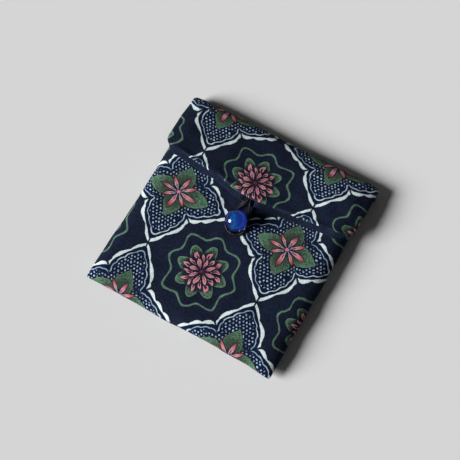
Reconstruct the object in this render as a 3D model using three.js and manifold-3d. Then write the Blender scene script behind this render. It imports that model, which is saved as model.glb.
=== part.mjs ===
// A small flat cotton pouch with a flap, lying on its back, that a cord loop and a glass bead keep shut.
// Millimetres. +X to the right across the front, +Y towards the crease that the flap turns on, +Z up.
// The origin is on the surface that the pouch lies on, under the middle of its outline.
import * as THREE from "three";
import { mergeVertices } from "three/addons/utils/BufferGeometryUtils.js";
import Module from "manifold-3d";

// Outline
const POUCH_WIDTH = 98.4; // across the sewn pocket
const FLAP_OVERHANG = 0.8; // how far the flap stands out past the pocket, at each side
const POUCH_LENGTH = 100; // from the bottom fold to the top crease
const MOUTH_DEPTH = 10.5; // from the top crease down to the pocket's mouth
const FLAP_SIDE_DEPTH = 29.6; // from the top crease to the flap's lower edge, at its sides
const FLAP_BOW = 3; // how much deeper the flap is in the middle
const FLAP_BOW_REACH = 26; // how far to each side of the middle it gets deeper
const FLAP_CORNER = 3.2; // radius of the flap's lower corners

// Cloth
const CLOTH = 0.8; // printed outer cloth
const LINING = 0.5;
const LAYER_GAP = 0.3; // air between cloth and lining
const FLAP_GAP = 0.4; // air between the front and the flap that lies on it
const POCKET_ROOM = 5.8; // clear height inside, below the flap
const CROWN = 0.6; // how much the filled front rises towards its middle
const CREASE_THICKNESS = 8.4; // over the top crease
const CREASE_SLOPE = THREE.MathUtils.degToRad(16); // of the flap where it runs into the crease
const SIDE_ROLL = 7; // how far in from the side and the bottom the cloth rounds over
const LINING_ROLL = 6;
const LINING_INSET = 5.1; // from the outer cloth's side to the lining's
const LINING_BOTTOM_INSET = 1.4;
const FLAP_DROOP = 1.5; // how much the flap's sides hang lower
const FLAP_DROOP_START = 42; // from the middle to where that begins
const TURNED_EDGE = 1.2; // width of a turned edge

// Seams
const SEAM_WIDTH = 3.5; // seam allowance left inside
const SEAM_THICKNESS = 0.8;
const SEAM_SETBACK = 0.5; // from the outer cloth's inner face
const SEAM_END_GAP = 4; // from the bottom fold

// Bead and its thread
const BEAD_DIAMETER = 10.4;
const BEAD_BORE = 1.5;
const BEAD_X = 1.5;
const BEAD_BELOW_CREASE = 45.5;
const BEAD_LIFT = 1; // between the front and the bead
const THREAD = 0.6;
const THREAD_SPREAD = 1.2; // between the thread's two legs through the cloth
const THREAD_HOLE = [1.2, 2.5]; // the pierced and spread cloth, across and along
const THREAD_STEP = 0.15; // between the cloth's face and each half of the thread
const THREAD_CLEAR = 0.12; // between the thread and the bead
const KNOT = 2.6; // diameter
const KNOT_HEIGHT = 0.9;

// Cord loop
const CORD = 1.3;
const CORD_GAP = 0.3; // round the cord, where it lies between or on other pieces
const LOOP_HALF_WIDTH = 4.9; // from the bead's middle to the middle of the cord, beside the bead
const LOOP_BELOW_BEAD = 0.2; // from the bead's outline to the middle of the cord, below the bead
const TAIL_OFFSET = 0.6; // from the bead's middle to the middle between the cord's two ends
const TAIL_SPACING = 1.7; // between the cord's two ends in the flap
const TAIL_LENGTH = 8; // inside the flap
const TACK_LENGTH = 2.5; // bar tack over the tails
const TACK_WIDTH = 3.6;
const TIP_RISE_WIDTH = 6; // how far to each side of the tails they lift the flap
const TIP_RISE_LENGTH = 9; // how far beyond their ends

// Facets
const FOLD_STEPS = 5; // round a quarter of the crease
const EDGE_STEPS = 6; // round half of a turned edge
const ROLL_STEPS = 5; // where outer cloth rounds over
const LINING_STEPS = 4; // where lining rounds over
const FLAP_ROWS = 9; // along the flap
const FLAP_COLUMNS = 20; // across the flap
const FLAP_SIDE_STEPS = 7; // along the turned edge at each side of the flap
const FLAP_CORNER_STEPS = 4;
const FLAP_LOWER_STEPS = 18; // along its lower edge
const CORD_SIDES = 8;
const LOOP_STEPS = 44;
const BEAD_STEPS = [16, 28]; // from pole to pole, and round
const THREAD_SIDES = 6;
const THREAD_STEPS = 60;
const WRAP_STEPS = 6; // where the thread lies round the bead's underside
const KNOT_STEPS = [8, 12]; // from pole to pole, and round
const FRONT_STEPS = [6, 5]; // of the pocket's flat middle, across and along
const BACK_STEPS = [3, 5];
const MOUTH_STEPS = 8; // along the mouth's turned edge
const SEAM_STEPS = 6; // round each end of a seam allowance

// Places worked out from the sizes
const bottomY = -POUCH_LENGTH / 2;
const creaseY = POUCH_LENGTH / 2;
const mouthY = creaseY - MOUTH_DEPTH;
const halfPouch = POUCH_WIDTH / 2;
const halfFlap = halfPouch + FLAP_OVERHANG;
const wall = CLOTH + LAYER_GAP + LINING;
const frontTop = 2 * wall + POCKET_ROOM; // the front's outer face below the flap, at its sides
const flapTop = frontTop + FLAP_GAP + wall; // the flap's outer face at its lower edge
const creaseRadius = CREASE_THICKNESS / 2;
const creaseZ = creaseRadius;
const rollY = creaseY - creaseRadius; // where the flat back begins to roll into the crease
const slopeStart = creaseY - FLAP_SIDE_DEPTH; // where the filled pouch begins to get thinner upwards
const slopeEnd = rollY + creaseRadius * Math.sin(CREASE_SLOPE); // where the flap turns into the crease
const slopeDrop = flapTop - creaseZ - creaseRadius * Math.cos(CREASE_SLOPE);
const slopePower = (Math.tan(CREASE_SLOPE) * (slopeEnd - slopeStart)) / slopeDrop;
const halfGap = LAYER_GAP / 2;
const beadY = creaseY - BEAD_BELOW_CREASE;
const beadRadius = BEAD_DIAMETER / 2;
const cordRoom = CORD + 2 * CORD_GAP;
const tipRise = cordRoom - LAYER_GAP;
const tailX = BEAD_X + TAIL_OFFSET;

const wasm = await Module();
wasm.setup();

const vec = (x, y, z) => new THREE.Vector3(x, y, z);
const smooth = (low, high, x) => THREE.MathUtils.smoothstep(x, low, high);

// Share of its full height that cloth has reached d in from an edge, where it rounds over a width.
function rounding(d, width) {
  const left = THREE.MathUtils.clamp(1 - d / width, 0, 1);
  return Math.sqrt(1 - left * left);
}

// Swell of the filled front, 0 at its sides and where the crease begins.
function crown(x, y) {
  const across = Math.max(0, 1 - (x / halfPouch) ** 2);
  const along = Math.max(0, 1 - (y / rollY) ** 2);
  return CROWN * across * along;
}

// How much thinner the filled pouch is at y than below the flap.
const thinner = (y) =>
  slopeDrop * THREE.MathUtils.clamp((y - slopeStart) / (slopeEnd - slopeStart), 0, 1) ** slopePower;

const seamLevel = (y) => (frontTop - thinner(y)) / 2; // where front and back meet
const flapLowerY = (x) =>
  creaseY - FLAP_SIDE_DEPTH - FLAP_BOW * (1 - smooth(0, FLAP_BOW_REACH, Math.abs(x)));
const frontFace = (x, y) => frontTop + crown(x, y) - thinner(y);
const tipY = flapLowerY(BEAD_X);

// Lift of the flap's outer cloth over the cord's tails.
function overTails(x, y) {
  const beside = Math.max(0, Math.abs(x - tailX) - TACK_WIDTH / 2);
  const along = 1 - smooth(tipY + TAIL_LENGTH, tipY + TAIL_LENGTH + TIP_RISE_LENGTH, y);
  return tipRise * Math.exp(-((beside / TIP_RISE_WIDTH) ** 2)) * along;
}

function flapFace(x, y) {
  const out = Math.max(0, (Math.abs(x) - FLAP_DROOP_START) / (halfFlap - FLAP_DROOP_START));
  const hang = FLAP_DROOP * out * out * (1 - smooth(slopeStart, rollY, y));
  return flapTop + crown(x, y) - thinner(y) - hang;
}

const fractions = (steps) => Array.from({ length: steps + 1 }, (_, i) => i / steps);

// Fractions from 0 to 1 along a length, closer together where an end rounds over.
function graded(length, rollLow, rollHigh, edgeSteps, middleSteps) {
  const at = [];
  for (let i = 0; i < edgeSteps && rollLow; i++)
    at.push((rollLow * (1 - Math.cos((i / edgeSteps) * (Math.PI / 2)))) / length);
  for (let i = 0; i <= middleSteps; i++)
    at.push((rollLow + ((length - rollLow - rollHigh) * i) / middleSteps) / length);
  for (let i = edgeSteps - 1; i >= 0 && rollHigh; i--)
    at.push(1 - (rollHigh * (1 - Math.cos((i / edgeSteps) * (Math.PI / 2)))) / length);
  return at;
}

// A closed body from quads between rows of points. Rows wrap round on themselves.
function bodyOfRows(rows, capEnds) {
  const count = rows[0].length;
  const positions = rows.flat().flatMap((p) => [p.x, p.y, p.z]);
  const index = [];
  const quad = (a, b, c, d) => index.push(a, b, c, a, c, d);
  for (let i = 0; i + 1 < rows.length; i++)
    for (let j = 0; j < count; j++) {
      const k = (j + 1) % count;
      quad(i * count + j, i * count + k, (i + 1) * count + k, (i + 1) * count + j);
    }
  if (capEnds) capEnds(index, count, rows.length - 1);
  const geometry = new THREE.BufferGeometry();
  geometry.setAttribute("position", new THREE.Float32BufferAttribute(positions, 3));
  geometry.setIndex(index);
  return facingOut(geometry);
}

// Turns the faces round if they point inwards.
function facingOut(geometry) {
  const p = geometry.getAttribute("position");
  const index = geometry.getIndex().array;
  const [a, b, c] = [new THREE.Vector3(), new THREE.Vector3(), new THREE.Vector3()];
  let volume = 0;
  for (let i = 0; i < index.length; i += 3) {
    a.fromBufferAttribute(p, index[i]);
    b.fromBufferAttribute(p, index[i + 1]);
    c.fromBufferAttribute(p, index[i + 2]);
    volume += a.dot(b.cross(c));
  }
  if (volume < 0)
    for (let i = 0; i < index.length; i += 3) [index[i + 1], index[i + 2]] = [index[i + 2], index[i + 1]];
  return geometry;
}

// A sheet between an outer and an inner face, each a function of two fractions.
function sheet(outer, inner, us, vs) {
  const rows = vs.map((v) => [
    ...us.map((u) => outer(u, v)),
    ...[...us].reverse().map((u) => inner(u, v)),
  ]);
  const n = us.length;
  return bodyOfRows(rows, (index, count, last) => {
    for (let i = 0; i + 1 < n; i++) {
      const [a, b, c, d] = [i, i + 1, count - 2 - i, count - 1 - i];
      index.push(a, d, c, a, c, b);
      const end = last * count;
      index.push(end + a, end + b, end + c, end + a, end + c, end + d);
    }
  });
}

// A bar through a row of alike cross-sections, closed by a flat fan at each end.
function bar(sections) {
  return bodyOfRows(sections, (index, count, last) => {
    for (let j = 1; j + 1 < count; j++) {
      index.push(0, j + 1, j);
      index.push(last * count, last * count + j, last * count + j + 1);
    }
  });
}

function solid(geometry) {
  const bare = geometry.index ? geometry.toNonIndexed() : geometry.clone();
  bare.deleteAttribute("normal");
  bare.deleteAttribute("uv");
  const merged = mergeVertices(bare, 1e-3);
  return new wasm.Manifold(
    new wasm.Mesh({
      numProp: 3,
      vertProperties: merged.getAttribute("position").array,
      triVerts: new Uint32Array(merged.getIndex().array),
    }),
  );
}

function geometryOf(manifold) {
  const mesh = manifold.getMesh();
  const geometry = new THREE.BufferGeometry();
  geometry.setAttribute("position", new THREE.BufferAttribute(new Float32Array(mesh.vertProperties), 3));
  geometry.setIndex(new THREE.BufferAttribute(new Uint32Array(mesh.triVerts), 1));
  return geometry;
}

const finish = (color, roughness) => new THREE.MeshStandardMaterial({ color, roughness, metalness: 0 });
const materials = {
  print: finish(0x262b3d, 0.92),
  lining: finish(0x2b3350, 0.95),
  seam: finish(0x20263a, 0.95),
  glass: finish(0x163a9c, 0.12),
  thread: finish(0x1b2036, 0.8),
  cord: finish(0x3a2620, 0.6),
};

const pouch = new THREE.Group();

function place(name, geometry, material, group = pouch) {
  const flat = geometry.index ? geometry.toNonIndexed() : geometry;
  flat.computeVertexNormals();
  const mesh = new THREE.Mesh(flat, material);
  mesh.name = name;
  group.add(mesh);
  return mesh;
}

// A face of the pocket's front, drawn in by an inset: from the bottom fold up to the mouth.
function frontFaceAt(half, bottom, roll, top, topY) {
  return (inset) => (u, v) => {
    const x = (half - inset) * (2 * u - 1);
    const y = THREE.MathUtils.lerp(bottom + inset, topY, v);
    const edge = seamLevel(y) + halfGap;
    const share = rounding(half - inset - Math.abs(x), roll) * rounding(y - bottom - inset, roll);
    return vec(x, y, edge + (top + crown(x, y) - thinner(y) - inset - edge) * share);
  };
}

function frontSheet(half, bottom, roll, top, thickness, topY, steps) {
  const face = frontFaceAt(half, bottom, roll, top, topY);
  const us = graded(2 * half, roll, roll, steps, FRONT_STEPS[0]);
  const vs = graded(topY - bottom, roll, 0, steps, FRONT_STEPS[1]);
  return sheet(face(0), face(thickness), us, vs);
}

// The back of the pocket: flat where it lies, rounded up to the seams, and rolled up into the crease.
function backSheet(half, bottom, roll, below, thickness, steps) {
  const radius = creaseRadius - below;
  const flat = rollY - bottom;
  const arc = (radius * Math.PI) / 2;
  const face = (inset) => (u, v) => {
    const x = (half - inset) * (2 * u - 1);
    const s = THREE.MathUtils.lerp(bottom + inset, rollY + arc, v);
    const turn = THREE.MathUtils.clamp((s - rollY) / radius, 0, Math.PI / 2);
    const y = Math.min(s, rollY) + (radius - inset) * Math.sin(turn);
    const z = creaseZ - (radius - inset) * Math.cos(turn);
    const side = 1 - rounding(half - inset - Math.abs(x), roll);
    const end = 1 - rounding(s - bottom - inset, roll);
    const up = 1 - (1 - side * (1 - smooth(mouthY, rollY + arc, s))) * (1 - end);
    const lift = Math.max(0, seamLevel(y) - halfGap - below - inset) * up;
    return vec(x, y, Math.min(z + lift, Math.max(creaseZ, seamLevel(y)) - halfGap));
  };
  const us = graded(2 * half, roll, roll, steps, BACK_STEPS[0]);
  const vs = [
    ...graded(flat, roll, 0, steps, BACK_STEPS[1]).map((v) => (v * flat) / (flat + arc)),
    ...fractions(FOLD_STEPS).slice(1).map((v) => (flat + arc * v) / (flat + arc)),
  ];
  return sheet(face(0), face(thickness), us, vs);
}

// The flap: rolled up out of the crease, then down over the front.
function flapSheet(half, below, thickness, lift, stopY, widthSteps, lengthSteps) {
  const radius = creaseRadius - below;
  const arc = radius * (Math.PI / 2 - CREASE_SLOPE);
  const startY = (inset) => rollY + (radius - inset) * Math.sin(CREASE_SLOPE);
  const flat = startY(0) - stopY;
  const face = (inset) => (u, v) => {
    const x = half * (2 * u - 1);
    const s = (flat + arc) * v;
    if (s < arc) {
      const turn = Math.PI / 2 - s / radius;
      const z = creaseZ + (radius - inset) * Math.cos(turn);
      return vec(x, rollY + (radius - inset) * Math.sin(turn), Math.max(z, creaseZ + halfGap));
    }
    const y = startY(inset) - (s - arc);
    return vec(x, y, flapFace(x, y) - below - inset + lift(x, y));
  };
  const vs = [
    ...fractions(FOLD_STEPS).map((v) => (arc * v) / (flat + arc)),
    ...fractions(lengthSteps).slice(1).map((v) => (arc + flat * v) / (flat + arc)),
  ];
  return sheet(face(0), face(thickness), fractions(widthSteps), vs);
}

// The flap's outline in plan, drawn in by a margin, as points from the right side round to the left.
function flapOutline(margin, topY) {
  const half = halfFlap - margin;
  const radius = FLAP_CORNER - margin;
  const cornerY = flapLowerY(half) + margin + radius;
  const side = fractions(FLAP_SIDE_STEPS)
    .slice(0, -1)
    .map((v) => new THREE.Vector2(half, THREE.MathUtils.lerp(topY, cornerY, v)));
  for (const v of fractions(FLAP_CORNER_STEPS)) {
    const turn = (v * Math.PI) / 2;
    side.push(new THREE.Vector2(half - radius + radius * Math.cos(turn), cornerY - radius * Math.sin(turn)));
  }
  const lower = fractions(FLAP_LOWER_STEPS).slice(1, -1).map((v) => {
    const x = (half - radius) * (1 - 2 * v);
    return new THREE.Vector2(x, flapLowerY(x) + margin);
  });
  const mirrored = [...side].reverse().map((p) => new THREE.Vector2(-p.x, p.y));
  return [...side, ...lower, ...mirrored];
}

function prism(points, low, high) {
  const shape = new THREE.Shape(points);
  const body = new THREE.ExtrudeGeometry(shape, { depth: high - low, bevelEnabled: false });
  body.translate(0, 0, low);
  return solid(body);
}

function block(x0, x1, y0, y1, z0, z1) {
  const box = new THREE.BoxGeometry(x1 - x0, y1 - y0, z1 - z0);
  box.translate((x0 + x1) / 2, (y0 + y1) / 2, (z0 + z1) / 2);
  return solid(box);
}

// A round thread or cord along a curve.
function strand(points, diameter, sides, steps) {
  const section = new THREE.Shape();
  for (let i = 0; i < sides; i++) {
    const turn = ((i + 0.5) / sides) * 2 * Math.PI;
    const [x, y] = [(diameter / 2) * Math.cos(turn), (diameter / 2) * Math.sin(turn)];
    if (i) section.lineTo(x, y);
    else section.moveTo(x, y);
  }
  const path = new THREE.CatmullRomCurve3(points, false, "centripetal");
  return new THREE.ExtrudeGeometry(section, { steps, bevelEnabled: false, extrudePath: path });
}

const beadSeat = frontFace(BEAD_X, beadY);
const beadZ = beadSeat + BEAD_LIFT + beadRadius;

// Pocket
const threadHole = block(
  BEAD_X - THREAD_HOLE[0] / 2,
  BEAD_X + THREAD_HOLE[0] / 2,
  beadY - THREAD_HOLE[1] / 2,
  beadY + THREAD_HOLE[1] / 2,
  frontTop / 2,
  beadZ,
);
const mouthCloth = mouthY - TURNED_EDGE - LAYER_GAP;
const front = frontSheet(halfPouch, bottomY, SIDE_ROLL, frontTop, CLOTH, mouthCloth, ROLL_STEPS);
place("front_panel", geometryOf(solid(front).subtract(threadHole)), materials.print);
place("back_panel", backSheet(halfPouch, bottomY, SIDE_ROLL, 0, CLOTH, ROLL_STEPS), materials.print);

const halfLining = halfPouch - LINING_INSET;
const liningBottom = bottomY + LINING_BOTTOM_INSET;
const liningTop = frontTop - CLOTH - LAYER_GAP;
const innerFront = frontSheet(
  halfLining,
  liningBottom,
  LINING_ROLL,
  liningTop,
  LINING,
  mouthCloth,
  LINING_STEPS,
);
place("front_lining", geometryOf(solid(innerFront).subtract(threadHole)), materials.lining);
place(
  "back_lining",
  backSheet(halfLining, liningBottom, LINING_ROLL, CLOTH + LAYER_GAP, LINING, LINING_STEPS),
  materials.lining,
);

// The mouth's turned edge: it joins cloth and lining from side to side, and rounds towards the crease.
function mouthEdge() {
  const cloth = frontFaceAt(halfPouch, bottomY, SIDE_ROLL, frontTop, mouthY);
  const lining = frontFaceAt(halfLining, liningBottom, LINING_ROLL, liningTop, mouthY);
  const sections = graded(POUCH_WIDTH, SIDE_ROLL, SIDE_ROLL, ROLL_STEPS, MOUTH_STEPS).map((u) => {
    const outer = cloth(0)(u, 1).setY(mouthY - TURNED_EDGE);
    const inner = lining(LINING)(u, 1).setY(mouthY - TURNED_EDGE);
    const section = [inner, outer];
    for (let j = 1; j < EDGE_STEPS; j++) {
      const turn = (j / EDGE_STEPS) * Math.PI;
      const point = outer.clone().lerp(inner, (1 - Math.cos(turn)) / 2);
      section.push(point.setY(mouthY - TURNED_EDGE + TURNED_EDGE * Math.sin(turn)));
    }
    return section;
  });
  return bar(sections);
}
place("mouth_edge", mouthEdge(), materials.print);

// Seam allowances: flat folded strips just inside each side, with rounded ends.
function sideSeam(side) {
  const outer = halfPouch - CLOTH - SEAM_SETBACK;
  const [low, high] = [bottomY + CLOTH + SEAM_END_GAP, mouthCloth - LAYER_GAP];
  const round = SEAM_WIDTH / 2;
  const shape = new THREE.Shape();
  shape.moveTo(outer, low + round);
  shape.lineTo(outer, high - round);
  shape.absarc(outer - round, high - round, round, 0, Math.PI, false);
  shape.lineTo(outer - SEAM_WIDTH, low + round);
  shape.absarc(outer - round, low + round, round, Math.PI, 2 * Math.PI, false);
  const strip = new THREE.ExtrudeGeometry(shape, {
    depth: SEAM_THICKNESS,
    bevelEnabled: false,
    curveSegments: SEAM_STEPS,
  });
  const level = seamLevel(high);
  strip.translate(0, 0, level - SEAM_THICKNESS / 2);
  return side > 0 ? strip : strip.rotateY(Math.PI).translate(0, 0, 2 * level);
}
place("left_side_seam", sideSeam(-1), materials.seam);
place("right_side_seam", sideSeam(1), materials.seam);

// Flap
const flap = new THREE.Group();
pouch.add(flap);
const flapBase = flapLowerY(0) - FLAP_CORNER; // below the flap's lowest point, for the uncut sheets
const none = () => 0;
const cutOut = prism(flapOutline(TURNED_EDGE + halfGap, creaseY + creaseRadius), 0, 2 * flapTop);
const outerSheet = solid(flapSheet(halfFlap, 0, CLOTH, overTails, flapBase, FLAP_COLUMNS, FLAP_ROWS));
const innerSheet = solid(
  flapSheet(halfFlap, CLOTH + LAYER_GAP, LINING, none, flapBase, FLAP_COLUMNS, FLAP_ROWS),
);
place("flap_panel", geometryOf(outerSheet.intersect(cutOut)), materials.print, flap);
place("flap_lining", geometryOf(innerSheet.intersect(cutOut)), materials.lining, flap);

// The flap's turned edge: a bar that follows the outline, rounds outwards, and runs on into the crease.
function flapEdge() {
  const section = (inner, outer, outwards) => {
    const points = [inner, outer];
    for (let j = 1; j < EDGE_STEPS; j++) {
      const turn = (j / EDGE_STEPS) * Math.PI;
      const point = outer.clone().lerp(inner, (1 - Math.cos(turn)) / 2);
      points.push(point.addScaledVector(outwards, TURNED_EDGE * Math.sin(turn)));
    }
    return points;
  };
  const rolled = (side) =>
    fractions(FOLD_STEPS).map((v) => {
      const turn = v * (Math.PI / 2 - CREASE_SLOPE);
      const at = (radius) => {
        const z = Math.max(creaseZ + halfGap, creaseZ + radius * Math.sin(turn));
        return vec(side * (halfFlap - TURNED_EDGE), rollY + radius * Math.cos(turn), z);
      };
      return section(at(creaseRadius - wall), at(creaseRadius), vec(side, 0, 0));
    });
  const outline = flapOutline(TURNED_EDGE, slopeEnd);
  const lying = outline.slice(1, -1).map((p, i) => {
    const along = outline[i + 2].clone().sub(outline[i]).normalize();
    const top = flapFace(p.x, p.y);
    const outer = vec(p.x, p.y, top + overTails(p.x, p.y));
    return section(vec(p.x, p.y, top - wall), outer, vec(-along.y, along.x, 0));
  });
  return bar([...rolled(1), ...lying, ...rolled(-1).reverse()]);
}
const tailZ = flapFace(BEAD_X, tipY) - wall + LINING + CORD_GAP + CORD / 2;
const tails = [tailX - TAIL_SPACING / 2, tailX + TAIL_SPACING / 2];
const cordSlot = block(
  tails[0] - CORD / 2 - CORD_GAP,
  tails[1] + CORD / 2 + CORD_GAP,
  tipY - 2 * TURNED_EDGE,
  tipY + 2 * TURNED_EDGE,
  tailZ - CORD / 2 - CORD_GAP,
  tailZ + CORD / 2 + CORD_GAP,
);
place("flap_edge", geometryOf(solid(flapEdge()).subtract(cordSlot)), materials.print, flap);

// The cord's tails inside the flap, held by a bar tack across them.
const loopStartY = tipY - LAYER_GAP; // where the cord comes out of the flap's edge
function loopTails() {
  const [near, far] = [loopStartY + halfGap, loopStartY + TAIL_LENGTH];
  const ends = tails.map((x) =>
    solid(strand([vec(x, near, tailZ), vec(x, (near + far) / 2, tailZ), vec(x, far, tailZ)], CORD, CORD_SIDES, 2)),
  );
  const tackY = far - 2 * TACK_LENGTH;
  const tack = block(
    tailX - TACK_WIDTH / 2,
    tailX + TACK_WIDTH / 2,
    tackY,
    tackY + TACK_LENGTH,
    tailZ - CORD / 2,
    tailZ + CORD / 2,
  );
  return geometryOf(tack.add(ends[0]).add(ends[1]));
}
place("loop_tails", loopTails(), materials.cord, flap);

// The loop: out of the flap's tip, down to the front, and round under the bead. Each side goes through these
// places, as shares of the loop's half width and of the bead's radius from its middle.
const loopPlaces = [
  [0.42, 1.85],
  [0.74, 1.1],
  [1, 0.2],
  [0.97, -0.4],
  [0.6, -0.85],
];
const loop = new THREE.Group();
flap.add(loop);
const lyingZ = beadSeat + CORD_GAP + CORD / 2;
function cordLoop() {
  const start = loopStartY - halfGap;
  const bottom = beadY - beadRadius - LOOP_BELOW_BEAD;
  const level = (y) => THREE.MathUtils.lerp(lyingZ, tailZ, smooth(beadY + beadRadius, start, y));
  const side = (sign, x0) => [
    vec(x0, start, tailZ),
    vec(x0, start - CORD, tailZ),
    ...loopPlaces.map(([out, up]) => {
      const y = beadY + up * beadRadius;
      return vec(BEAD_X + sign * out * LOOP_HALF_WIDTH, y, level(y));
    }),
  ];
  const points = [...side(-1, tails[0]), vec(BEAD_X, bottom, lyingZ), ...side(1, tails[1]).reverse()];
  return strand(points, CORD, CORD_SIDES, LOOP_STEPS);
}
place("cord_loop", cordLoop(), materials.cord, loop);

// Bead, bored along Y
const bead = new THREE.Group();
pouch.add(bead);
function glassBead() {
  const profile = [];
  const bore = BEAD_BORE / 2;
  const mouth = Math.asin(bore / beadRadius);
  for (const v of fractions(BEAD_STEPS[0])) {
    const turn = mouth + (Math.PI - 2 * mouth) * v;
    profile.push(new THREE.Vector2(beadRadius * Math.sin(turn), -beadRadius * Math.cos(turn)));
  }
  profile.push(profile[0].clone());
  return new THREE.LatheGeometry(profile, BEAD_STEPS[1]);
}
const glass = place("closure_bead", geometryOf(solid(glassBead())), materials.glass, bead);
glass.position.set(BEAD_X, beadY, beadZ);

// The thread above the cloth: up round the bead's underside, through its bore and down again.
function beadThread() {
  const round = beadRadius + THREAD / 2 + THREAD_CLEAR;
  const leg = THREAD_SPREAD / 2;
  const low = Math.asin((beadZ - beadSeat - THREAD) / round);
  const half = [vec(0, leg, beadSeat + THREAD_STEP - beadZ)];
  const wrapped = 0.9; // share of the way up from the cloth to the bore's level
  for (const v of fractions(WRAP_STEPS)) {
    const turn = -low * (1 - v * wrapped);
    half.push(vec(0, round * Math.cos(turn), round * Math.sin(turn)));
  }
  half.push(vec(0, round - THREAD, 0), vec(0, round / 2, 0));
  const other = half.map((p) => vec(0, -p.y, p.z)).reverse();
  const points = [...half, ...other].map((p) => vec(p.x + BEAD_X, p.y + beadY, p.z + beadZ));
  return strand(points, THREAD, THREAD_SIDES, THREAD_STEPS);
}
place("bead_thread", beadThread(), materials.thread, bead);

// The thread's legs through the cloth, tied in a knot on the lining's inner face.
function threadKnot() {
  const innerFace = beadSeat - wall;
  const knotTop = innerFace - LAYER_GAP;
  const profile = [];
  for (const v of fractions(KNOT_STEPS[0])) {
    const turn = Math.PI * (v - 1 / 2);
    profile.push(new THREE.Vector2((KNOT / 2) * Math.cos(turn), (KNOT_HEIGHT / 2) * Math.sin(turn)));
  }
  const knot = new THREE.LatheGeometry(profile, KNOT_STEPS[1]);
  knot.rotateX(Math.PI / 2);
  knot.translate(BEAD_X, beadY, knotTop - KNOT_HEIGHT / 2);
  const top = beadSeat - THREAD_STEP;
  const legs = [-1, 1].map((sign) => {
    const y = beadY + (sign * THREAD_SPREAD) / 2;
    const low = knotTop - KNOT_HEIGHT / 2;
    const points = [low, (low + top) / 2, top].map((z) => vec(BEAD_X, y, z));
    return solid(strand(points, THREAD, THREAD_SIDES, 2));
  });
  return geometryOf(solid(knot).add(legs[0]).add(legs[1]));
}
place("thread_knot", threadKnot(), materials.thread);

export default pouch;
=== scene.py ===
# The looks of a small printed cotton pouch with a flap, a cord loop and a glass bead.
# Lengths in this script are in millimetres until a mesh is made.
import math

import bpy
import numpy as np
from mathutils import Matrix, Vector


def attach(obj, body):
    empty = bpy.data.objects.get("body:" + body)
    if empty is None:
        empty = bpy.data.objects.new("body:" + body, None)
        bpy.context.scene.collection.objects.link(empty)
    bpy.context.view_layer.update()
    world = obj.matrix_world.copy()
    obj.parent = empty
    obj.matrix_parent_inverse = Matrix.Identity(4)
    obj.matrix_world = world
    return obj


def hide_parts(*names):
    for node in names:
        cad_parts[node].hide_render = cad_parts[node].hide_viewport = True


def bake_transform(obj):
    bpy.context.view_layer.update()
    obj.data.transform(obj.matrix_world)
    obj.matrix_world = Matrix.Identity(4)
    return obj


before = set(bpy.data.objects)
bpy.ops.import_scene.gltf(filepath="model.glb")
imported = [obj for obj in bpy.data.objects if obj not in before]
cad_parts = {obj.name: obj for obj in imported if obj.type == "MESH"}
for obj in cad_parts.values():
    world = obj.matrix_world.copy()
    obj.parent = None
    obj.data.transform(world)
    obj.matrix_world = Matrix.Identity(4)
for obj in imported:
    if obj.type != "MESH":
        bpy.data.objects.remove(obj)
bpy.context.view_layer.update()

MM = 0.001

# Sizes shared with the CAD part
HALF = 49.2  # half the sewn pocket's width
HALF_FLAP = 50.0
BOTTOM = -50.0
CREASE = 50.0
MOUTH = 39.5
CLOTH = 0.8
FRONT_TOP = 9.0
FLAP_TOP = 10.2
CREASE_R = 4.2
ROLL_Y = CREASE - CREASE_R  # where the cloth begins to turn round the crease
SLOPE = math.radians(16)  # of the flap where it runs into the crease
SIDE_ROLL = 7.0  # how far in from a side or the bottom the cloth rounds over
CROWN = 0.6  # how much the filled front rises towards its middle
FLAP_LOW = 20.4
FLAP_TIP = 17.4
SLOPE_END = ROLL_Y + CREASE_R * math.sin(SLOPE)
SLOPE_DROP = FLAP_TOP - CREASE_R - CREASE_R * math.cos(SLOPE)
SLOPE_POWER = math.tan(SLOPE) * (SLOPE_END - FLAP_LOW) / SLOPE_DROP
DROOP_START = 42.0  # how far from the middle the flap's sides begin to hang lower
BEAD = Vector((1.5, 4.5, 15.79))
BEAD_R = 5.2
TAIL_LENGTH = 8  # of the cord's two ends inside the flap
TAIL_Z = 11.36
TIP_RISE_WIDTH = 6  # how far to each side of the two ends they lift the flap
TIP_RISE_LENGTH = 9  # and how far beyond them
LINING_INSET = 5.1
LINING_BOTTOM_INSET = 1.4
LINING_ROLL = 6.0

# Sizes of this script only, most from a closer look at the photograph
TAIL_X = 1.0  # the middle between the cord's two ends
TAIL_SPACING = 1.64
LOOP_START = 17.0
CORD = 1.5
TIP_RISE = 1.32
LINING_CLOTH = 0.42
DROOP = 3.0  # how much lower the flap hangs at its sides
FLAP_CORNER = 4.8
SIDE_LOW = 22.6  # where the flap ends at its sides
BAND = 2.2  # how far the flap's lining reaches beyond its print

# Small distances
LIE = 0.02  # from the surface up to the cloth
SEAM_GAP = 0.12  # from the level of the sewn edges to each face that meets there
BACK_END = ROLL_Y + 0.4  # where the pocket's strip ends, just under the crease

# Steps of the grids that the cloth is made from
EDGE_STEPS = 9  # round a rolled side or the bottom fold
FRONT_STEPS = 70
BACK_STEPS = 60
CREASE_STEPS = 26
SLOPE_STEPS = 64  # down the flap
FLAP_COLUMNS = 70
EDGE_FADE = 12  # steps after which the flap's edge is fully turned under
PRINT_FADE = 13  # steps over which its print runs on from the pocket's back
FOLD_STEP = 15  # the step that lies outermost on the crease


def smooth(low, high, x):
    """0 below low and 1 above high, smooth between."""
    t = np.clip((x - low) / (high - low), 0, 1)
    return t * t * (3 - 2 * t)


def rounding(d, width):
    """A quarter circle's rise from 0 at an edge to 1 at a width from it."""
    left = np.clip(1 - d / width, 0, 1)
    return np.sqrt(1 - left * left)


def bell(x, middle, width):
    return np.exp(-(((x - middle) / width) ** 2))


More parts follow.
